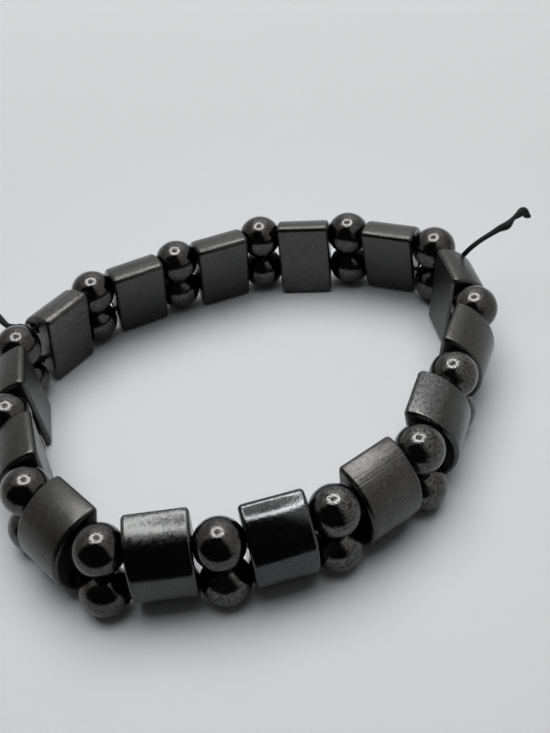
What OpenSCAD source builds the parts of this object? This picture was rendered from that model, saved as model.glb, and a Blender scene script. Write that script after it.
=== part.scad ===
// Beaded stretch bracelet. Half round bar beads that stand on end alternate
// with pairs of round beads, one above the other, on two elastic threads.
// It lies on a surface as a closed loop that no clasp opens.
// X runs to the right, Y to the back and Z up. The origin is the middle of
// the bead loop, on the surface that the lower round beads rest on.

/* [Round beads] */
// Diameter of a round bead
ball_d = 6; // [5.9:0.1:6.4]

/* [Bar beads] */
// Length of a bar bead along the threads
bar_len = 7.4; // [7:0.1:7.8]
// Height of a bar bead, which is twice its depth
bar_h = 12; // [11.4:0.1:12]
// Distance from the flat face to the middle of the holes
hole_in = 3.1; // [2.8:0.1:3.3]
// Radius of the eased edges
edge_r = 0.7; // [0.4:0.1:0.9]

/* [Threads] */
// Diameter of an elastic thread
thread_d = 0.7; // [0.5:0.1:0.8]
// Diameter of the drilled holes
bore_d = 1.7; // [1.6:0.1:1.8]

/* [Fit] */
// How far a round bead sits in the dished mouths of a bar bead's holes
seat_in = 0.22; // [0.1:0.02:0.24]
// Clearance between a round bead and that seat
bead_gap = 0.06; // [0.05:0.01:0.1]
// Clearance between the two round beads of a pair
pair_gap = 0.15; // [0.1:0.05:0.3]
// Extra room between two beads where a thread end comes out
tail_room = 1; // [0.9:0.1:1.3]

/* [Hidden] */
$fn = 64;

// One row for each bar bead, anticlockwise seen from above, from the front
// left. The heading is its direction in plan, anticlockwise from +X. The lean
// turns it about the threads, and a plus leans its top outwards. Its holes are
// wider than the threads, so that it also sits a little out of line with the
// round beads, outwards or up.
heading = 0;
lean = 1;
off_out = 2;
off_up = 3;
bars = [
    // heading, lean, outwards, up
    [310, -14, 0, 0.25],
    [1, -5, -0.4, 0.25],
    [11, 0, 0.25, 0],
    [33, -1, -0.15, -0.05],
    [66, -7, 0.1, 0.2],
    [64, 7, 0.15, 0],
    [96, 5, 0.05, -0.3],
    [156, -14, 0.35, 0.45],
    [172, -1, -0.25, -0.05],
    [196, -13, -0.05, 0.15],
    [201, -15, 0.15, 0.3],
    [228, -10, 0, 0.05],
    [276, 4, -0.1, -0.25],
    [282, 0, -0.2, 0.05],
];
count = len(bars);
tail_bars = [6, 11]; // places in the table of the bar beads that a thread end follows

ball_r = ball_d / 2;
bar_r = bar_h / 2;
bore_r = bore_d / 2;
row_half = (ball_d + pair_gap) / 2; // from the middle of a pair to a thread
mid_h = ball_r + row_half;
ball_face = sqrt(ball_r * ball_r - bore_r * bore_r); // middle of a ball to its hole's rim
floor_gap = 0.05; // least height of a bar bead above the surface
cut = 1; // how far a cutting solid passes the face that it cuts
tube_sides = 8;
bend_in = 0.3; // how far inside a hole a thread bends
in_ball = ball_face - bend_in; // middle of a ball to the thread's bend
in_bar = bar_len / 2 - bend_in; // the same in a bar bead
ring_mid = [26.49, 17.35]; // middle of the loop, seen from the first pair of round beads

function before(i) = (i + count - 1) % count;
function after(i) = (i + 1) % count;
function along(a) = [cos(a), sin(a)];
function outward(a) = [sin(a), -cos(a)];
function raised(p, z) = [p[0], p[1], z];

// Each pair of round beads lies before the bar bead of its own number, faces
// halfway between the two bar beads beside it, and leans as much as their mean.
function turn(i) = (bars[i][heading] - bars[before(i)][heading] + 540) % 360 - 180;
function pair_heading(i) = bars[i][heading] - turn(i) / 2;
function pair_lean(i) = (bars[i][lean] + bars[before(i)][lean]) / 2;

// The bar bead's holes line up with the rims of those in the round beads, so
// that the thread bends where the beads meet.
function reach(i) =
    ball_r - seat_in + row_half * abs(sin(pair_lean(i))) * sin(abs(turn(i)) / 2);
function side_step(i) = ball_face * sin(turn(i) / 2);
function room(i) = len(search(i, tail_bars)) > 0 ? tail_room : 0;
function link(i) =
    along(bars[i][heading]) * (reach(i) + bar_len + room(i) + reach(after(i)))
    + outward(bars[i][heading]) * (side_step(i) - side_step(after(i)));

// The last link comes back to the first pair but for a trace, which all share.
loop = [for (i = 0, p = [0, 0]; i <= count; p = p + link(i % count), i = i + 1) p];
pair_at = [for (i = [0:count - 1]) loop[i] - loop[count] * i / count - ring_mid];
bar_at = [
    for (i = [0:count - 1])
        pair_at[i]
        + along(bars[i][heading]) * (reach(i) + bar_len / 2)
        + outward(bars[i][heading]) * (side_step(i) + bars[i][off_out])
];

// A bar bead that leans is lifted until its lowest edge clears the surface.
function bar_drop(a) =
    a < 0
        ? (bar_r - edge_r) * cos(a) - (hole_in - edge_r) * sin(a) + edge_r
        : bar_r - hole_in * sin(a);
function bar_z(i) = max(mid_h + bars[i][off_up], bar_drop(bars[i][lean]) + floor_gap);

// Middle of a hole in a round bead or a bar bead. A row of 1 is the upper one
// and -1 the lower.
function ball_mid(i, row) =
    raised(
        pair_at[i] + outward(pair_heading(i)) * row * row_half * sin(pair_lean(i)),
        row > 0 ? ball_r + 2 * row_half * cos(pair_lean(i)) : ball_r
    );
function hole_mid(i, row) =
    raised(
        bar_at[i] + outward(bars[i][heading]) * row * row_half * sin(bars[i][lean]),
        bar_z(i) + row * row_half * cos(bars[i][lean])
    );
function thread_route(row) = [
    for (i = [0:count - 1])
        each [
            ball_mid(i, row) - raised(along(pair_heading(i)), 0) * in_ball,
            ball_mid(i, row) + raised(along(pair_heading(i)), 0) * in_ball,
            hole_mid(i, row) - raised(along(bars[i][heading]), 0) * in_bar,
            hole_mid(i, row) + raised(along(bars[i][heading]), 0) * in_bar,
        ]
];

// Free thread ends. Each row is a point of one, from the middle of the gap
// after its bar bead: outwards, on past the bar bead, up, and the diameter there.
// The right one springs up and ends in a lump, and the left one sags.
right_tail_route = [
    // out, on, up, diameter
    [0.6, 0.2, 0, 0.7],
    [1.15, 0.2, 0.45, 0.7],
    [1.65, 0.15, 1.05, 0.7],
    [2.25, 0.15, 1.65, 0.7],
    [3.7, 0.5, 2.35, 0.7],
    [5.5, 0.9, 2.95, 0.75],
    [6.75, 1.25, 3.25, 0.95],
    [7.9, 1.4, 3.5, 1.15],
    [9.05, 2.35, 3.7, 0.65],
    [10, 2.9, 3.8, 0.95],
    [10.9, 3.45, 3.8, 1.3],
    [11.45, 3.35, 3.2, 1],
    [11.95, 3.35, 2.8, 0.5],
];
left_tail_route = [
    // out, on, up, diameter
    [0.75, 0.25, 0, 0.6],
    [2.1, 0.25, -0.15, 0.7],
    [3.6, 0.3, -0.9, 0.75],
    [5.2, 0.45, -1.3, 0.8],
    [6.7, 0.2, -1.25, 0.95],
    [8.4, -0.2, -1.25, 1.1],
    [9.95, -0.6, -1.35, 1.15],
    [11.25, -0.9, -1.45, 1.1],
    [11.9, -1, -1.55, 0.6],
];
// The middle of that gap, at the height of the upper thread
function tail_from(i) =
    hole_mid(i, 1) + raised(along(bars[i][heading]) * (bar_len - seat_in + tail_room) / 2, 0);
function tail_at(i, p) =
    tail_from(i) + raised(outward(bars[i][heading]) * p[0] + along(bars[i][heading]) * p[1], p[2]);

function unit(v) = v / norm(v);
function tube_ring(p, d, way) =
    let (side = unit(cross(way, [0, 0, 1])), up = unit(cross(side, way)))
    [
        for (k = [0:tube_sides - 1])
            let (a = 360 * k / tube_sides)
            p + (side * cos(a) + up * sin(a)) * d / 2
    ];

module ring_walls(rings, closed) {
    n = len(rings);
    spans = closed ? n : n - 1;
    walls = [
        for (i = [0:spans - 1], k = [0:tube_sides - 1])
            let (j = (i + 1) % n, m = (k + 1) % tube_sides)
            [i * tube_sides + k, i * tube_sides + m, j * tube_sides + m, j * tube_sides + k]
    ];
    start = [for (k = [tube_sides - 1:-1:0]) k];
    end = [for (k = [0:tube_sides - 1]) (n - 1) * tube_sides + k];
    polyhedron(
        points = [for (r = rings) each r],
        faces = closed ? walls : concat(walls, [start, end]),
        convexity = 8
    );
}

module thread_loop(row) {
    route = thread_route(row);
    n = len(route);
    ring_walls(
        [
            for (i = [0:n - 1])
                tube_ring(route[i], thread_d, route[(i + 1) % n] - route[(i + n - 1) % n])
        ],
        true
    );
}

module thread_end(i, route) {
    n = len(route);
    at = [for (p = route) tail_at(i, p)];
    diameter = 3;
    ring_walls(
        [
            for (k = [0:n - 1])
                tube_ring(at[k], route[k][diameter], at[min(k + 1, n - 1)] - at[max(k - 1, 0)])
        ],
        false
    );
}

// A rectangle with its lower left corner at the origin and round corners
module eased_box(w, h) {
    translate([edge_r, 0]) square([w - 2 * edge_r, h]);
    translate([0, edge_r]) square([w, h - 2 * edge_r]);
    for (x = [edge_r, w - edge_r], y = [edge_r, h - edge_r])
        translate([x, y]) circle(r = edge_r);
}

// A bar bead with its holes along X, its flat face on +Y and its round back
// on -Y. Its long edges, its round rims and its flat face's ends are all eased.
module bar_section() {
    intersection() {
        circle(r = bar_r);
        translate([-bar_h, -bar_r]) eased_box(bar_h, bar_h);
    }
}

module bar_body() {
    difference() {
        translate([0, hole_in, 0]) intersection() {
            rotate([90, 0, 90]) translate([0, 0, -bar_len / 2]) linear_extrude(bar_len) bar_section();
            rotate([0, 90, 0]) rotate_extrude() intersection() {
                translate([-bar_r, -bar_len / 2]) eased_box(bar_h, bar_len);
                translate([0, -bar_len]) square([bar_h, 2 * bar_len]);
            }
            translate([-bar_len / 2, -bar_h, -bar_h]) linear_extrude(2 * bar_h) eased_box(bar_len, bar_h);
        }
        for (row = [-1, 1])
            translate([-bar_len / 2 - cut, 0, row * row_half])
                rotate([0, 90, 0]) cylinder(h = bar_len + 2 * cut, r = bore_r);
    }
}

// The seats in its two ends are dished to the round beads that sit in them.
module bar_bead(i) {
    color([0.24, 0.24, 0.25]) difference() {
        translate(raised(bar_at[i], bar_z(i)))
            rotate([bars[i][lean], 0, bars[i][heading]])
                bar_body();
        for (pair = [i, after(i)], row = [-1, 1])
            translate(ball_mid(pair, row)) sphere(r = ball_r + bead_gap);
    }
}

module round_bead(i, row) {
    color([0.3, 0.3, 0.31])
        translate(ball_mid(i, row))
            rotate([0, 90, pair_heading(i)])
                difference() {
                    sphere(r = ball_r);
                    translate([0, 0, -ball_d]) cylinder(h = 2 * ball_d, r = bore_r);
                }
}

module upper_elastic() {
    color([0.06, 0.06, 0.06]) thread_loop(1);
}

module lower_elastic() {
    color([0.06, 0.06, 0.06]) thread_loop(-1);
}

module right_tail() {
    color([0.06, 0.06, 0.06]) thread_end(tail_bars[0], right_tail_route);
}

module left_tail() {
    color([0.06, 0.06, 0.06]) thread_end(tail_bars[1], left_tail_route);
}

for (i = [1:count]) bar_bead(i - 1);
for (i = [1:count]) round_bead(i - 1, 1);
for (i = [1:count]) round_bead(i - 1, -1);
upper_elastic();
lower_elastic();
right_tail();
left_tail();
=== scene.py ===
import math
import bpy
import bmesh
from mathutils import Matrix, Vector


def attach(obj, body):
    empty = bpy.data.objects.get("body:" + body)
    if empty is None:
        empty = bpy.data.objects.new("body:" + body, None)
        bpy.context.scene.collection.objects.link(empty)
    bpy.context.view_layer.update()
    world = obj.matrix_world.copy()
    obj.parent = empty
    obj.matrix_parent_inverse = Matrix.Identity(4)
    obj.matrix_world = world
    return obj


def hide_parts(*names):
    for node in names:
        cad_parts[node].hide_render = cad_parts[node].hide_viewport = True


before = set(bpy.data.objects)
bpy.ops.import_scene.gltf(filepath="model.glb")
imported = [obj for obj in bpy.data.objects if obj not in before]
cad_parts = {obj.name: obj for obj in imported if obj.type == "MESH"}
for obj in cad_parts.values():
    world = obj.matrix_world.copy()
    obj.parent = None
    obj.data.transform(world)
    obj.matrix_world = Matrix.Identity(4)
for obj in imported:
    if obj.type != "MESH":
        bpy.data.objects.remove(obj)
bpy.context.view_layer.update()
mm = 0.001
print("frame loaded")

# The loop as the part's source lays it out, in millimetres and degrees
loopPlan = {
    "ballD": 6.0,
    "barLen": 7.4,
    "barH": 12.0,
    "holeIn": 3.1,  # from a bar bead's flat to the middle of its holes
    "edgeR": 0.7,
    "threadD": 0.7,
    "boreD": 1.7,
    "seatIn": 0.22,
    "beadGap": 0.06,
    "pairGap": 0.15,
    "tailRoom": 1.0,
    "floorGap": 0.05,
    "bendIn": 0.3,
    "ringMid": (26.49, 17.35),
    "tailBars": (6, 11),  # places in the list of the bar beads that a thread end follows
    # heading, lean, shift outwards and shift upwards of each bar bead,
    # anticlockwise from the front left
    "bars": [
        (310, -14, 0, 0.25),
        (1, -5, -0.4, 0.25),
        (11, 0, 0.25, 0),
        (33, -1, -0.15, -0.05),
        (66, -7, 0.1, 0.2),
        (64, 7, 0.15, 0),
        (96, 5, 0.05, -0.3),
        (156, -14, 0.35, 0.45),
        (172, -1, -0.25, -0.05),
        (196, -13, -0.05, 0.15),
        (201, -15, 0.15, 0.3),
        (228, -10, 0, 0.05),
        (276, 4, -0.1, -0.25),
        (282, 0, -0.2, 0.05),
    ],
}
bars = loopPlan["bars"]
count = len(bars)
ballR = loopPlan["ballD"] / 2
boreR = loopPlan["boreD"] / 2
barR = loopPlan["barH"] / 2
halfBar = loopPlan["barLen"] / 2
holeIn = loopPlan["holeIn"]
edgeR = loopPlan["edgeR"]
rowHalf = (loopPlan["ballD"] + loopPlan["pairGap"]) / 2
midHeight = ballR + rowHalf
ballFace = math.sqrt(ballR ** 2 - boreR ** 2)  # middle of a ball to its hole's rim


def along(heading):
    a = math.radians(heading)
    return Vector((math.cos(a), math.sin(a), 0))


def outward(heading):
    a = math.radians(heading)
    return Vector((math.sin(a), -math.cos(a), 0))


# A pair of round beads lies before the bar bead of its own number, and faces
# halfway between the two bar beads beside it.
def turnAt(i):
    return (bars[i][0] - bars[i - 1][0] + 540) % 360 - 180


def pairHeading(i):
    return bars[i][0] - turnAt(i) / 2


def pairLean(i):
    return math.radians((bars[i][1] + bars[i - 1][1]) / 2)


def reachAt(i):
    slant = abs(math.sin(pairLean(i))) * math.sin(math.radians(abs(turnAt(i)) / 2))
    return ballR - loopPlan["seatIn"] + rowHalf * slant


def sideStep(i):
    return ballFace * math.sin(math.radians(turnAt(i) / 2))


def linkAfter(i):
    j = (i + 1) % count
    room = loopPlan["tailRoom"] if i in loopPlan["tailBars"] else 0
    length = reachAt(i) + loopPlan["barLen"] + room + reachAt(j)
    return along(bars[i][0]) * length + outward(bars[i][0]) * (sideStep(i) - sideStep(j))


# How far the lowest edge of a leaning bar bead is below its middle. The bar is
# lifted until that edge clears the surface.
def barDrop(lean):
    a = math.radians(lean)
    if lean < 0:
        return (barR - edgeR) * math.cos(a) - (holeIn - edgeR) * math.sin(a) + edgeR
    return barR - holeIn * math.sin(a)


def layOutLoop():
    steps = [Vector((0, 0, 0))]
    for i in range(count):
        steps.append(steps[-1] + linkAfter(i))
    middle = Vector((*loopPlan["ringMid"], 0))
    pairs = [steps[i] - steps[count] * i / count - middle for i in range(count)]
    places = []
    for i, (heading, lean, out, up) in enumerate(bars):
        place = pairs[i] + along(heading) * (reachAt(i) + halfBar)
        place += outward(heading) * (sideStep(i) + out)
        place.z = max(midHeight + up, barDrop(lean) + loopPlan["floorGap"])
        places.append(place)
    return pairs, places


pairAt, barAt = layOutLoop()


# The middle of a hole in a round bead or a bar bead. A row of 1 is the upper
# one and -1 the lower.
def ballMid(i, row):
    lean = pairLean(i)
    point = pairAt[i] + outward(pairHeading(i)) * row * rowHalf * math.sin(lean)
    point.z = ballR + 2 * rowHalf * math.cos(lean) if row > 0 else ballR
    return point


def holeMid(i, row):
    heading, lean = bars[i][:2]
    a = math.radians(lean)
    rise = Vector((0, 0, row * rowHalf * math.cos(a)))
    return barAt[i] + outward(heading) * row * rowHalf * math.sin(a) + rise


# The camera stands where the photograph was taken from.
cameraPlan = {
    "place": (3.92, -93.2, 94.096),
    "pitch": 42.702,
    "roll": 6.656,
    "yaw": 0.114,
    "focalPixels": 991.52,
    "imageWidth": 550,
    "sensor": 36.0,
    "clip": (0.005, 20),
}


def makeCamera():
    plan = cameraPlan
    pitch, roll, yaw = (math.radians(plan[key]) for key in ("pitch", "roll", "yaw"))
    flat = math.cos(pitch)
    forward = Vector((-math.sin(yaw) * flat, math.cos(yaw) * flat, -math.sin(pitch)))
    level = Vector((math.cos(yaw), math.sin(yaw), 0))
    down = forward.cross(level)
    right = level * math.cos(roll) + down * math.sin(roll)
    below = down * math.cos(roll) - level * math.sin(roll)
    data = bpy.data.cameras.new("photoCamera")
    data.sensor_fit = "HORIZONTAL"
    data.sensor_width = plan["sensor"]
    data.lens = plan["focalPixels"] / plan["imageWidth"] * plan["sensor"]
    data.clip_start, data.clip_end = plan["clip"]
    turned = Matrix((right, -below, -forward)).transposed().to_4x4()
    camera = bpy.data.objects.new("photoCamera", data)
    camera.matrix_world = Matrix.Translation(Vector(plan["place"]) * mm) @ turned
    bpy.context.scene.collection.objects.link(camera)
    bpy.context.scene.camera = camera


makeCamera()
bpy.context.scene.view_settings.view_transform = "Standard"
print("camera placed")


def newNode(tree, kind, settings=None, inputs=None):
    node = tree.nodes.new(kind)
    for key, value in (settings or {}).items():
        setattr(node, key, value)
    for key, value in (inputs or {}).items():
        node.inputs[key].default_value = value
    return node


def calculate(tree, operation, first, second, third=None):
    node = newNode(tree, "ShaderNodeMath", {"operation": operation})
    for socket, value in zip(node.inputs, (first, second, third)):
        if isinstance(value, bpy.types.NodeSocket):
            tree.links.new(value, socket)
        elif value is not None:
            socket.default_value = value
    return node.outputs[0]


def spread(tree, value, low, high, start=0.0, end=1.0):
    node = newNode(tree, "ShaderNodeMapRange", {"interpolation_type": "SMOOTHSTEP"})
    tree.links.new(value, node.inputs["Value"])
    for key, number in (("From Min", low), ("From Max", high), ("To Min", start), ("To Max", end)):
        node.inputs[key].default_value = number
    return node.outputs["Result"]


# The noise's settings are its scale, detail and roughness.
def newNoise(tree, place, settings):
    inputs = dict(zip(("Scale", "Detail", "Roughness"), settings))
    node = newNode(tree, "ShaderNodeTexNoise", None, inputs)
    tree.links.new(place, node.inputs["Vector"])
    return node.outputs[0]


colourSockets = {"factor": 0, "first": 6, "second": 7, "result": 2}  # of a Mix node


def mixColours(tree, factor, first, second):
    node = newNode(tree, "ShaderNodeMix", {"data_type": "RGBA"})
    tree.links.new(factor, node.inputs[colourSockets["factor"]])
    for key, value in (("first", first), ("second", second)):
        socket = node.inputs[colourSockets[key]]
        if isinstance(value, tuple):
            socket.default_value = (*value, 1)
        else:
            tree.links.new(value, socket)
    return node.outputs[colourSockets["result"]]


def newMaterial(name):
    material = bpy.data.materials.new(name)
    material.use_nodes = True
    return material, material.node_tree


def addBump(tree, shader, height, strength, relief):
    bump = newNode(tree, "ShaderNodeBump", None, {"Strength": strength, "Distance": relief * mm})
    tree.links.new(height, bump.inputs["Height"])
    tree.links.new(bump.outputs["Normal"], shader.inputs["Normal"])


# Polished hematite: a fine grain, cloudy patches, grinding lines along the
# bead and a few pits. Lengths are in the bead's own millimetres, with the hole
# along X, a bar bead's dome on -Y and its top on +Z.
stonePlan = {
    "fine": (3.8, 3.0, 0.65),
    "speck": (1.9, 4.0, 0.65),
    "cloud": (0.45, 2.0, 0.5),
    "line": (1.0, 2.0, 0.5),
    "lineStretch": (0.05, 9.0, 9.0),
    "pit": {"Scale": 1.3, "Randomness": 1.0},
    "pitEdge": (0.1, 0.17),
    # the top of some bars is dulled by wear and made paler by a painted highlight, and its grinding
    # lines show most
    "topFromDome": (-1.2, -0.6),
    "topFromMiddle": (2.0, 3.0),
    "lineElsewhere": 0.4,
    "lineOnTop": 0.7,
    # how much each mask adds to the shade, the roughness and the height
    # the top's share of the shade is a painted highlight that makes the bars' tops paler
    "shade": {"cloud": 0.35, "specks": 2.8, "lines": 1.1, "wornAndSheen": 0.6, "pits": -0.6},
    "rough": {
        "grain": 0.3, "cloud": 0.12, "lines": 0.3, "pits": 0.1, "specks": 0.3, "wornAndSheen": 0.17,
    },
    "height": {"lines": 0.6, "specks": 0.3, "pits": -0.05},
    "leastShade": 0.2,
    "leastRough": 0.04,
    "relief": 0.03,  # height of the grain
}
stoneInputs = {
    "Place": "Vector", "Tone": "Color", "Roughness": "Float", "Grain": "Float",
    "Mottle": "Float", "Lines": "Float", "Pits": "Float", "WornAndSheen": "Float",
}
stoneOutputs = {"Color": "Color", "Roughness": "Float", "Height": "Float"}


def addWeighted(tree, total, masks, weights):
    for name, weight in weights.items():
        total = calculate(tree, "MULTIPLY_ADD", masks[name], weight, total)
    return total


def makeStoneGroup():
    plan = stonePlan
    group = bpy.data.node_groups.new("hematiteGrain", "ShaderNodeTree")
    for sockets, way in ((stoneInputs, "INPUT"), (stoneOutputs, "OUTPUT")):
        for name, kind in sockets.items():
            group.interface.new_socket(name, in_out=way, socket_type="NodeSocket" + kind)
    links = group.links
    given = newNode(group, "NodeGroupInput")
    made = newNode(group, "NodeGroupOutput")
    place = given.outputs["Place"]

    def multiply(first, second):
        return calculate(group, "MULTIPLY", first, second)

    def centred(name, where):
        return calculate(group, "SUBTRACT", newNoise(group, where, plan[name]), 0.5)

    drawn = newNode(group, "ShaderNodeMapping", None, {"Scale": plan["lineStretch"]})
    links.new(place, drawn.inputs["Vector"])
    pit = newNode(group, "ShaderNodeTexVoronoi", None, plan["pit"])
    links.new(place, pit.inputs["Vector"])
    parts = newNode(group, "ShaderNodeSeparateXYZ")
    links.new(place, parts.inputs[0])
    top = multiply(
        spread(group, parts.outputs["Y"], *plan["topFromDome"]),
        spread(group, parts.outputs["Z"], *plan["topFromMiddle"]),
    )
    # the top of a bar: real wear that makes it rougher, and a painted highlight that makes its
    # colour paler
    wornAndSheen = multiply(top, given.outputs["WornAndSheen"])
    grain = multiply(centred("fine", place), given.outputs["Grain"])
    speckShare = calculate(group, "ADD", given.outputs["Grain"], wornAndSheen)
    lineShare = calculate(group, "MULTIPLY_ADD", top, plan["lineOnTop"], plan["lineElsewhere"])
    lines = multiply(centred("line", drawn.outputs["Vector"]), given.outputs["Lines"])
    # painted shade: the pits are darkened in colour, besides their small dent in the height and
    # their added roughness
    pits = spread(group, pit.outputs["Distance"], *plan["pitEdge"], 1.0, 0.0)
    masks = {
        "grain": grain,
        "cloud": centred("cloud", place),
        "specks": multiply(centred("speck", place), speckShare),
        "lines": multiply(lines, lineShare),
        "pits": multiply(pits, given.outputs["Pits"]),
        "wornAndSheen": wornAndSheen,
    }

    shade = calculate(group, "MULTIPLY_ADD", grain, given.outputs["Mottle"], 1.0)
    shade = addWeighted(group, shade, masks, plan["shade"])
    shade = calculate(group, "MAXIMUM", shade, plan["leastShade"])
    tone = newNode(group, "ShaderNodeVectorMath", {"operation": "SCALE"})
    links.new(given.outputs["Tone"], tone.inputs[0])
    links.new(shade, tone.inputs["Scale"])
    links.new(tone.outputs[0], made.inputs["Color"])

    rough = addWeighted(group, given.outputs["Roughness"], masks, plan["rough"])
    rough = calculate(group, "MAXIMUM", rough, plan["leastRough"])
    links.new(rough, made.inputs["Roughness"])
    links.new(addWeighted(group, grain, masks, plan["height"]), made.inputs["Height"])
    return group


stoneGroup = makeStoneGroup()
stoneFinishes = {
    "polishedRound": {
        "Tone": (0.067, 0.0655, 0.064, 1), "Roughness": 0.13,
        "Grain": 0.48, "Mottle": 4.0, "Lines": 0.0, "Pits": 0.8, "WornAndSheen": 0.0,
    },
    "mottledRound": {
        "Tone": (0.076, 0.0755, 0.0735, 1), "Roughness": 0.15,
        "Grain": 0.5, "Mottle": 7.5, "Lines": 0.0, "Pits": 0.9, "WornAndSheen": 0.0,
    },
    "polishedBar": {
        "Tone": (0.064, 0.065, 0.066, 1), "Roughness": 0.12,
        "Grain": 0.26, "Mottle": 4.5, "Lines": 0.1, "Pits": 0.8, "WornAndSheen": 0.08,
    },
    # a strong painted highlight on the top, with the top's rougher wear
    "grainyBarPaintedSheen": {
        "Tone": (0.063, 0.064, 0.063, 1), "Roughness": 0.12,
        "Grain": 0.28, "Mottle": 4.5, "Lines": 0.1, "Pits": 0.8, "WornAndSheen": 1.0,
    },
    "satinBar": {
        "Tone": (0.067, 0.0665, 0.0645, 1), "Roughness": 0.3,
        "Grain": 0.2, "Mottle": 3.2, "Lines": 0.3, "Pits": 0.7, "WornAndSheen": 0.1,
    },
    "groundBar": {
        "Tone": (0.068, 0.067, 0.0655, 1), "Roughness": 0.24,
        "Grain": 0.3, "Mottle": 3.2, "Lines": 1.3, "Pits": 0.8, "WornAndSheen": 0.3,
    },
}


def makeStone(name, finish):
    material, tree = newMaterial(name)
    shader = tree.nodes["Principled BSDF"]
    shader.inputs["Metallic"].default_value = 1.0
    place = newNode(tree, "ShaderNodeAttribute", {"attribute_name": "grainPlace"})
    skin = newNode(tree, "ShaderNodeGroup", {"node_tree": stoneGroup}, finish)
    tree.links.new(place.outputs["Vector"], skin.inputs["Place"])
    tree.links.new(skin.outputs["Color"], shader.inputs["Base Color"])
    tree.links.new(skin.outputs["Roughness"], shader.inputs["Roughness"])
    addBump(tree, shader, skin.outputs["Height"], 1.0, stonePlan["relief"])
    return material


stones = {name: makeStone(name, finish) for name, finish in stoneFinishes.items()}

elasticPlan = {
    "specular": 0.2,
    "fibre": (4500.0, 4.0, 0.6),
    "dark": (0.0015, 0.002, 0.002),
    "pale": (0.006, 0.007, 0.0075),
    "rough": (0.3, 0.7, 0.5, 0.7),  # noise from and to, roughness from and to
    "bump": 0.7,
    "relief": 0.03,
}


def makeElastic():
    plan = elasticPlan
    material, tree = newMaterial("blackElastic")
    shader = tree.nodes["Principled BSDF"]
    shader.inputs["Specular IOR Level"].default_value = plan["specular"]
    place = newNode(tree, "ShaderNodeTexCoord")
    fibre = newNoise(tree, place.outputs["Object"], plan["fibre"])
    tint = mixColours(tree, fibre, plan["dark"], plan["pale"])
    tree.links.new(tint, shader.inputs["Base Color"])
    tree.links.new(spread(tree, fibre, *plan["rough"]), shader.inputs["Roughness"])
    addBump(tree, shader, fibre, plan["bump"], plan["relief"])
    return material


elastic = makeElastic()
print("materials ready")


def addObject(shape, name):
    mesh = bpy.data.meshes.new(name)
    shape.to_mesh(mesh)
    thing = bpy.data.objects.new(name, mesh)
    bpy.context.scene.collection.objects.link(thing)
    return thing


def newPiece(name, mesh, material, slotName, *nodes):
    mesh.name = name
    for face in mesh.polygons:
        face.use_smooth = True
    mesh.materials.clear()
    mesh.materials.append(material)
    piece = bpy.data.objects.new(name, mesh)
    bpy.context.scene.collection.objects.link(piece)
    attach(piece, "root")
    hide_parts(*nodes)


def turnedTo(heading, lean):
    turn = Matrix.Rotation(math.radians(heading), 4, "Z")
    return turn @ Matrix.Rotation(math.radians(lean), 4, "X")


# The stone's pattern is read along one long block, each bead a step further
# on, so that beads of a kind differ.
grainPlan = {"step": 31.0, "firstBar": 1, "firstOf": {"upper": 40, "lower": 0}}


# A shape in millimetres is set in its place in metres. Each copy keeps its
# own millimetres for the stone's pattern.
def placedMesh(shape, place, heading, lean, number):
    copy = shape.copy()
    layer = copy.verts.layers.float_vector.new("grainPlace")
    for vert in copy.verts:
        vert[layer] = vert.co + Vector((number * grainPlan["step"], 0, 0))
    matrix = Matrix.Translation(place * mm) @ turnedTo(heading, lean) @ Matrix.Scale(mm, 4)
    bmesh.ops.transform(copy, matrix=matrix, verts=copy.verts[:])
    mesh = bpy.data.meshes.new("placed")
    copy.to_mesh(mesh)
    copy.free()
    return mesh


acrossX, acrossY, acrossZ = (1, 0, 0), (0, 1, 0), (0, 0, 1)  # axes to turn about
meshPlan = {"near": 0.01, "same": 0.001, "flatArea": 5, "facing": 0.999}


def vertsIn(geom):
    return [v for v in geom if isinstance(v, bmesh.types.BMVert)]


# An arc drawn from a vert, which gives the vert at its far end
def drawArc(shape, vert, centre, axis, angle, steps):
    drawn = bmesh.ops.spin(
        shape, geom=[vert], cent=centre, axis=axis, angle=angle, steps=steps, use_merge=False,
    )
    return vertsIn(drawn["geom_last"])[0]


def drawOn(shape, vert, offset):
    moved = bmesh.ops.extrude_vert_indiv(shape, verts=[vert])["verts"][0]
    moved.co += Vector(offset)
    return moved


def turnRound(shape, geom, centre, axis, steps):
    bmesh.ops.spin(
        shape, geom=geom, cent=centre, axis=axis, angle=2 * math.pi, steps=steps, use_merge=True,
    )


def easeRims(shape, rims, offset, segments, clamped):
    bmesh.ops.bevel(
        shape, geom=rims, offset=offset, offset_type="OFFSET", affect="EDGES",
        segments=segments, profile=0.5, material=-1, clamp_overlap=clamped,
    )


roundBeadPlan = {"arcSteps": 44, "turnSteps": 72, "rim": 0.12, "rimSegments": 3}


# A round bead is the outline from rim to rim and the wall of its hole, turned
# about the hole.
def makeRoundBeadShape():
    plan = roundBeadPlan
    middle = (0, 0, 0)
    shape = bmesh.new()
    start = shape.verts.new((ballFace, 0, boreR))
    mouth = math.asin(boreR / ballR)
    end = drawArc(shape, start, middle, acrossY, 2 * mouth - math.pi, plan["arcSteps"])
    shape.edges.new((end, start))
    turnRound(shape, shape.verts[:] + shape.edges[:], middle, acrossX, plan["turnSteps"])
    rims = [
        e for e in shape.edges
        if all(abs(abs(v.co.x) - ballFace) < meshPlan["near"] for v in e.verts)
    ]
    easeRims(shape, rims, plan["rim"], plan["rimSegments"], True)
    bmesh.ops.recalc_face_normals(shape, faces=shape.faces[:])
    return shape


barBeadPlan = {
    "domeSteps": 56,
    "cornerSteps": 6,
    "rimOffset": 0.5,
    "rimSegments": 5,
    "holeSteps": 36,
    "holeRim": 0.14,
    "holeRimSteps": 3,
    "flatBand": 0.04,
}


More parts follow.
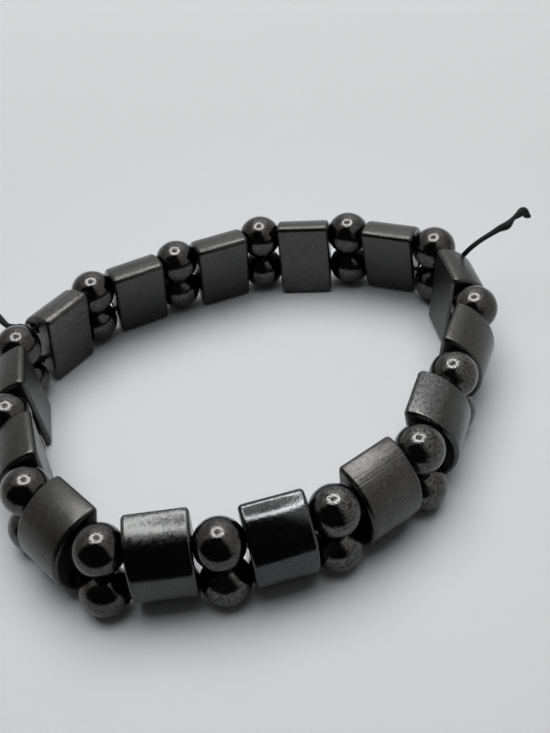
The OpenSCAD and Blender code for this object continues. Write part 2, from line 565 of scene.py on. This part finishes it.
# A bar bead lies with its holes along X, its flat face on +Y and its dome on -Y.
def makeBarBeadShape():
    plan = barBeadPlan
    rise = math.sqrt((barR - edgeR) ** 2 - edgeR ** 2)
    tangent = math.atan2(rise, edgeR)
    shape = bmesh.new()
    start = shape.verts.new((-halfBar, holeIn, rise))
    vert = start
    for centre, angle, steps in (
        ((-halfBar, holeIn - edgeR, rise), math.pi - tangent, plan["cornerSteps"]),
        ((-halfBar, holeIn, 0), 2 * tangent, plan["domeSteps"]),
        ((-halfBar, holeIn - edgeR, -rise), math.pi - tangent, plan["cornerSteps"]),
    ):
        vert = drawArc(shape, vert, centre, acrossX, angle, steps)
    shape.edges.new((vert, start))
    face = bmesh.ops.contextual_create(shape, geom=shape.edges[:])["faces"][0]
    pulled = bmesh.ops.extrude_face_region(shape, geom=[face])
    bmesh.ops.translate(shape, verts=vertsIn(pulled["geom"]), vec=(2 * halfBar, 0, 0))
    bmesh.ops.recalc_face_normals(shape, faces=shape.faces[:])
    rims = [
        e for e in shape.edges
        if abs(e.verts[0].co.x - e.verts[1].co.x) < meshPlan["near"]
    ]
    easeRims(shape, rims, plan["rimOffset"], plan["rimSegments"], False)
    shape.normal_update()
    wide = [f for f in shape.faces if f.calc_area() > meshPlan["flatArea"]]
    ends = [f for f in wide if abs(f.normal.x) > meshPlan["facing"]]
    flat = [f for f in wide if f.normal.y > meshPlan["facing"]]
    bmesh.ops.inset_region(
        shape, faces=ends + flat, thickness=plan["flatBand"], use_even_offset=True,
    )
    bmesh.ops.delete(shape, geom=ends, context="FACES_ONLY")
    for row in (-1, 1):
        drillHole(shape, row * rowHalf)
    for side in (-1, 1):
        edges = [
            e for e in shape.edges if e.is_boundary
            and all(abs(v.co.x - side * halfBar) < meshPlan["same"] for v in e.verts)
        ]
        bmesh.ops.triangle_fill(shape, edges=edges, use_beauty=True, normal=(side, 0, 0))
    bmesh.ops.recalc_face_normals(shape, faces=shape.faces[:])
    return shape


# The wall of a hole with its two rounded rims, left open at the bar's ends
def drillHole(shape, height):
    plan = barBeadPlan
    rim, band = plan["holeRim"], plan["flatBand"]
    rimHeight = height + boreR + rim
    first = shape.verts.new((halfBar, 0, height + boreR + rim + band))
    known = set(shape.verts[:]) - {first}
    vert = drawOn(shape, first, (0, 0, -band))
    vert = drawArc(
        shape, vert, (halfBar - rim, 0, rimHeight), acrossY, math.pi / 2, plan["holeRimSteps"],
    )
    vert = drawOn(shape, vert, (2 * (rim - halfBar), 0, 0))
    vert = drawArc(
        shape, vert, (rim - halfBar, 0, rimHeight), acrossY, math.pi / 2, plan["holeRimSteps"],
    )
    drawOn(shape, vert, (0, 0, band))
    chain = [v for v in shape.verts if v not in known]
    lines = [e for e in shape.edges if e.verts[0] in chain and e.verts[1] in chain]
    turnRound(shape, chain + lines, Vector((0, 0, height)), acrossX, plan["holeSteps"])


seatPlan = {"turnSteps": 64, "arcSteps": 40, "sharpFrom": 17.0}


def addSeatCutter(centre, seatR):
    ball = bmesh.new()
    bmesh.ops.create_uvsphere(
        ball, u_segments=seatPlan["turnSteps"], v_segments=seatPlan["arcSteps"], radius=seatR,
    )
    bmesh.ops.translate(ball, verts=ball.verts[:], vec=centre)
    cutter = addObject(ball, "seat")
    ball.free()
    return cutter


# The mouths of a bar bead's holes are dished to the four round beads beside it.
def dishedBar(shape, i):
    seatR = ballR + loopPlan["beadGap"]
    back = turnedTo(*bars[i][:2]).transposed()
    blank = addObject(shape, "blank")
    cutters = []
    for pair in (i, (i + 1) % count):
        for row in (-1, 1):
            centre = back @ (ballMid(pair, row) - barAt[i])
            if abs(centre.x) - seatR > halfBar:
                continue  # it stands clear of the bar, where a thread end comes out
            cutters.append(addSeatCutter(centre, seatR))
            cut = blank.modifiers.new("seat", "BOOLEAN")
            cut.operation = "DIFFERENCE"
            cut.solver = "EXACT"
            cut.object = cutters[-1]
    bpy.context.view_layer.update()
    seen = blank.evaluated_get(bpy.context.evaluated_depsgraph_get())
    cutShape = bmesh.new()
    cutShape.from_mesh(bpy.data.meshes.new_from_object(seen))
    for spare in [blank] + cutters:
        bpy.data.objects.remove(spare)
    cutShape.normal_update()
    for edge in cutShape.edges:  # a crisp rim where a seat meets the flat end
        onEnd = all(abs(abs(v.co.x) - halfBar) < meshPlan["same"] for v in edge.verts)
        if len(edge.link_faces) == 2 and onEnd:
            if math.degrees(edge.calc_face_angle(0)) > seatPlan["sharpFrom"]:
                edge.smooth = False
    return cutShape


barFinishes = [
    "satinBar", "grainyBarPaintedSheen", "polishedBar", "groundBar", "grainyBarPaintedSheen", "satinBar", "satinBar",
    "satinBar", "satinBar", "satinBar", "satinBar", "groundBar", "satinBar", "satinBar",
]
barShape = makeBarBeadShape()
for i, finish in enumerate(barFinishes):
    dished = dishedBar(barShape, i)
    mesh = placedMesh(dished, barAt[i], *bars[i][:2], grainPlan["firstBar"] + i)
    dished.free()
    newPiece(f"barBead{i + 1}", mesh, stones[finish], "bar_stone", f"bar_bead_{i + 1}")
barShape.free()
print("bar beads made")

rows = {"upper": 1, "lower": -1}
mottledPairs = {"upper": (3, 4, 5), "lower": (2, 3, 4)}  # places in the list of the pairs
ballShape = makeRoundBeadShape()
for i in range(count):
    for word, row in rows.items():
        number = grainPlan["firstOf"][word] + i
        mesh = placedMesh(ballShape, ballMid(i, row), pairHeading(i), 0, number)
        stone = stones["mottledRound" if i in mottledPairs[word] else "polishedRound"]
        newPiece(f"{word}Round{i + 1}", mesh, stone, "round_stone", f"{word}_round_{i + 1}")
ballShape.free()
print("round beads made")

# A strand's points have their diameter in millimetres as radius, so the curve
# is half a millimetre deep.
strandPlan = {"depth": 0.5, "roundness": 6, "steps": 5, "order": 3}


def tubeMesh(points, closed):
    plan = strandPlan
    curve = bpy.data.curves.new("strand", "CURVE")
    curve.dimensions = "3D"
    curve.bevel_depth = plan["depth"] * mm
    curve.bevel_resolution = plan["roundness"]
    curve.use_fill_caps = not closed
    curve.resolution_u = plan["steps"]
    spline = curve.splines.new("NURBS" if closed else "POLY")
    spline.points.add(len(points) - 1)
    for target, (point, diameter) in zip(spline.points, points):
        target.co = (*(point * mm), 1)
        target.radius = diameter
    spline.use_cyclic_u = closed
    if closed:
        spline.order_u = plan["order"]
    strand = bpy.data.objects.new("strand", curve)
    bpy.context.scene.collection.objects.link(strand)
    bpy.context.view_layer.update()
    seen = strand.evaluated_get(bpy.context.evaluated_depsgraph_get())
    mesh = bpy.data.meshes.new_from_object(seen)
    bpy.data.objects.remove(strand)
    bpy.data.curves.remove(curve)
    return mesh


def threadRoute(row):
    inBall = ballFace - loopPlan["bendIn"]
    inBar = halfBar - loopPlan["bendIn"]
    route = []
    for i in range(count):
        heading = bars[i][0]
        route.append(ballMid(i, row) - along(pairHeading(i)) * inBall)
        route.append(ballMid(i, row) + along(pairHeading(i)) * inBall)
        route.append(holeMid(i, row) - along(heading) * inBar)
        route.append(holeMid(i, row) + along(heading) * inBar)
    return [(point, loopPlan["threadD"]) for point in route]


for word, row in rows.items():
    mesh = tubeMesh(threadRoute(row), True)
    newPiece(f"{word}Thread", mesh, elastic, "elastic", f"{word}_elastic")
print("threads made")

# Each row: out from the gap after its bar bead, on past it, up, and the diameter
tailPlans = {
    "right": {
        "bar": loopPlan["tailBars"][0],
        "node": "right_tail",
        "rows": [
            (0.6, 0.2, 0, 0.7),
            (1.15, 0.2, 0.45, 0.7),
            (1.65, 0.15, 1.05, 0.7),
            (2.25, 0.15, 1.65, 0.7),
            (3.7, 0.5, 2.35, 0.7),
            (5.5, 0.9, 2.95, 0.75),
            (6.75, 1.25, 3.25, 0.95),
            (7.9, 1.4, 3.5, 1.15),
            (9.05, 2.35, 3.7, 0.65),
            (10, 2.9, 3.8, 0.95),
            (10.9, 3.45, 3.8, 1.3),
            (11.45, 3.35, 3.2, 1),
            (11.95, 3.35, 2.8, 0.5),
        ],
    },
    "left": {
        "bar": loopPlan["tailBars"][1],
        "node": "left_tail",
        "rows": [
            (0.75, 0.25, 0, 0.6),
            (2.1, 0.25, -0.15, 0.7),
            (3.6, 0.3, -0.9, 0.75),
            (5.2, 0.45, -1.3, 0.8),
            (6.7, 0.2, -1.25, 0.95),
            (8.4, -0.2, -1.25, 1.1),
            (9.95, -0.6, -1.35, 1.15),
            (11.25, -0.9, -1.45, 1.1),
            (11.9, -1, -1.55, 0.6),
        ],
    },
}
tailSteps = 8


# A smooth curve through the rows, which bends by its neighbours at each
def smoothRoute(rows, steps):
    values = [Vector(row) for row in rows]
    padded = [values[0] * 2 - values[1]] + values + [values[-1] * 2 - values[-2]]
    dense = []
    for a, b, c, d in zip(padded, padded[1:], padded[2:], padded[3:]):
        for k in range(steps):
            t = k / steps
            dense.append(0.5 * (
                b * 2 + (c - a) * t + (a * 2 - b * 5 + c * 4 - d) * t ** 2
                + (b * 3 - a - c * 3 + d) * t ** 3
            ))
    return dense + [values[-1]]


# from the middle of a bar bead to the middle of the gap after it
toGap = (loopPlan["barLen"] - loopPlan["seatIn"] + loopPlan["tailRoom"]) / 2
for side, plan in tailPlans.items():
    heading = bars[plan["bar"]][0]
    root = holeMid(plan["bar"], 1) + along(heading) * toGap
    route = [
        (root + outward(heading) * p[0] + along(heading) * p[1] + Vector((0, 0, p[2])), p[3])
        for p in smoothRoute(plan["rows"], tailSteps)
    ]
    newPiece(f"{side}Tail", tubeMesh(route, False), elastic, "elastic", plan["node"])
print("tails made")

floorPlan = {
    "size": 1.5,
    "middle": (0.6, 0.612, 0.63),
    # painted shade: the table's colour is darker away from its middle, in place of light falling
    # off
    "paintedShadeAround": (0.553, 0.562, 0.567),
    "fade": (0.01, 0.085),
    "farGlow": (0.1, 0.9, 0.0, 0.9),  # evens the light that fails far from the part
    "rough": 0.6,
    "specular": 0.3,
}


def makeFloor():
    plan = floorPlan
    shape = bmesh.new()
    bmesh.ops.create_grid(shape, x_segments=1, y_segments=1, size=plan["size"])
    floor = addObject(shape, "floor")
    shape.free()
    material, tree = newMaterial("paleTable")
    shader = tree.nodes["Principled BSDF"]
    place = newNode(tree, "ShaderNodeTexCoord")
    away = newNode(tree, "ShaderNodeVectorMath", {"operation": "LENGTH"})
    tree.links.new(place.outputs["Object"], away.inputs[0])
    far = away.outputs["Value"]
    # painted shade: the table's tint darkens with distance from its middle
    tint = mixColours(tree, spread(tree, far, *plan["fade"]), plan["middle"], plan["paintedShadeAround"])
    tree.links.new(tint, shader.inputs["Base Color"])
    tree.links.new(tint, shader.inputs["Emission Color"])
    tree.links.new(spread(tree, far, *plan["farGlow"]), shader.inputs["Emission Strength"])
    shader.inputs["Roughness"].default_value = plan["rough"]
    shader.inputs["Specular IOR Level"].default_value = plan["specular"]
    floor.data.materials.append(material)


lampPlan = {
    "height": 0.7,
    "behind": 0.14,
    "radius": 0.25,
    "halfWidth": 0.045,
    "strength": 13.5,
    "steps": 96,
    "softBehind": 0.21,
    "softRadius": 0.42,
    "softStrength": 4.6,
    "softSteps": 48,
}


def addLamp(shape, name, strength):
    lamp = addObject(shape, name)
    shape.free()
    lamp.visible_camera = False
    material, tree = newMaterial(name + "Glow")
    glow = newNode(tree, "ShaderNodeEmission", None, {"Strength": strength})
    tree.links.new(glow.outputs[0], tree.nodes["Material Output"].inputs["Surface"])
    lamp.data.materials.append(material)
    return lamp


# The ring that the beads reflect, which gives no other light
def makeRingLamp():
    plan = lampPlan
    shape = bmesh.new()
    ends = [
        shape.verts.new((plan["radius"] + side * plan["halfWidth"], plan["behind"], plan["height"]))
        for side in (-1, 1)
    ]
    shape.edges.new(ends)
    middle = (0, plan["behind"], plan["height"])
    turnRound(shape, shape.verts[:] + shape.edges[:], middle, acrossZ, plan["steps"])
    lamp = addLamp(shape, "ringLamp", plan["strength"])
    lamp.visible_diffuse = False


# The wide light above and behind, which throws the beads' shadows forwards
# and shows in no reflection
def makeSoftLamp():
    plan = lampPlan
    shape = bmesh.new()
    bmesh.ops.create_circle(
        shape, cap_ends=True, segments=plan["softSteps"], radius=plan["softRadius"],
    )
    bmesh.ops.translate(shape, verts=shape.verts[:], vec=(0, plan["softBehind"], plan["height"]))
    lamp = addLamp(shape, "softLamp", plan["softStrength"])
    lamp.visible_glossy = False


# The dark of the viewer's side, which only the polished beads see
cardPlan = {
    "y": -0.073,
    "left": -0.6,
    "right": 0.05,
    "bottom": 0.001,
    "top": 0.34,
    "apron": -0.047,  # how far the strip on the table reaches back
    "leftFade": 0.42,
    "rightFade": 0.02,
    "glow": 0.02,
}


def makeDarkCard():
    plan = cardPlan
    shape = bmesh.new()
    ends = [shape.verts.new((x, plan["y"], plan["bottom"])) for x in (plan["left"], plan["right"])]
    edge = shape.edges.new(ends)
    for offset in ((0, 0, plan["top"] - plan["bottom"]), (0, plan["apron"] - plan["y"], 0)):
        pulled = bmesh.ops.extrude_edge_only(shape, edges=[edge])
        bmesh.ops.translate(shape, verts=vertsIn(pulled["geom"]), vec=offset)
    card = addObject(shape, "darkCard")
    shape.free()
    card.visible_camera = False
    card.visible_diffuse = False
    card.visible_shadow = False
    material, tree = newMaterial("cardDark")
    place = newNode(tree, "ShaderNodeTexCoord")
    parts = newNode(tree, "ShaderNodeSeparateXYZ")
    tree.links.new(place.outputs["Object"], parts.inputs[0])
    x = parts.outputs["X"]
    fromLeft = spread(tree, x, plan["left"], plan["left"] + plan["leftFade"])
    fromRight = spread(tree, x, plan["right"] - plan["rightFade"], plan["right"], 1.0, 0.0)
    glow = newNode(tree, "ShaderNodeEmission", None, {"Strength": plan["glow"]})
    clear = newNode(tree, "ShaderNodeBsdfTransparent")
    mix = newNode(tree, "ShaderNodeMixShader")
    cover = calculate(tree, "MULTIPLY", fromLeft, fromRight)
    for socket, source in zip(mix.inputs, (cover, clear.outputs[0], glow.outputs[0])):
        tree.links.new(source, socket)
    tree.links.new(mix.outputs[0], tree.nodes["Material Output"].inputs["Surface"])
    card.data.materials.append(material)


# The room around the table, as the beads reflect it. A way is a part of the
# direction that is looked in, from where a wall's tone starts to where it is full.
roomPlan = {
    "zenith": (0.8, 0.8, 0.81),
    "back": (0.62, 0.62, 0.63),
    "left": (0.36, 0.35, 0.33),
    "right": (0.56, 0.55, 0.54),
    "front": (0.12, 0.12, 0.12),
    "glow": (1.45, 1.45, 1.45),
    "acrossWay": (-0.7, 0.7),
    "backWay": (0.2, 0.8),
    "frontWay": (-0.95, -0.55),
    "upWay": (0.5, 0.9),
    "glowWay": (0.16, 0.6, 0.78),
    "glowSpread": (0.78, 0.97),
    "onTable": 0.12,  # the share of the room's light that matt surfaces get
    "backdrop": (0.62, 0.63, 0.64),
}


def makeRoom():
    plan = roomPlan
    world = bpy.data.worlds.new("room")
    world.use_nodes = True
    tree = world.node_tree
    tree.nodes.clear()
    links = tree.links
    way = newNode(tree, "ShaderNodeTexCoord")
    parts = newNode(tree, "ShaderNodeSeparateXYZ")
    links.new(way.outputs["Generated"], parts.inputs[0])
    x, y, z = parts.outputs

    walls = mixColours(tree, spread(tree, x, *plan["acrossWay"]), plan["left"], plan["right"])
    walls = mixColours(tree, spread(tree, y, *plan["backWay"]), walls, plan["back"])
    walls = mixColours(tree, spread(tree, y, *plan["frontWay"], 1.0, 0.0), walls, plan["front"])
    room = mixColours(tree, spread(tree, z, *plan["upWay"]), walls, plan["zenith"])
    nearGlow = newNode(tree, "ShaderNodeVectorMath", {"operation": "DOT_PRODUCT"})
    links.new(way.outputs["Generated"], nearGlow.inputs[0])
    nearGlow.inputs[1].default_value = Vector(plan["glowWay"]).normalized()
    inGlow = spread(tree, nearGlow.outputs["Value"], *plan["glowSpread"])
    room = mixColours(tree, inGlow, room, plan["glow"])

    ray = newNode(tree, "ShaderNodeLightPath")
    room = mixColours(tree, ray.outputs["Is Camera Ray"], room, plan["backdrop"])
    share = spread(tree, ray.outputs["Is Diffuse Ray"], 0.0, 1.0, 1.0, plan["onTable"])
    sky = newNode(tree, "ShaderNodeBackground")
    end = newNode(tree, "ShaderNodeOutputWorld")
    links.new(room, sky.inputs["Color"])
    links.new(share, sky.inputs["Strength"])
    links.new(sky.outputs[0], end.inputs["Surface"])
    bpy.context.scene.world = world


makeFloor()
makeRingLamp()
makeSoftLamp()
makeDarkCard()
makeRoom()
print("room and light made")
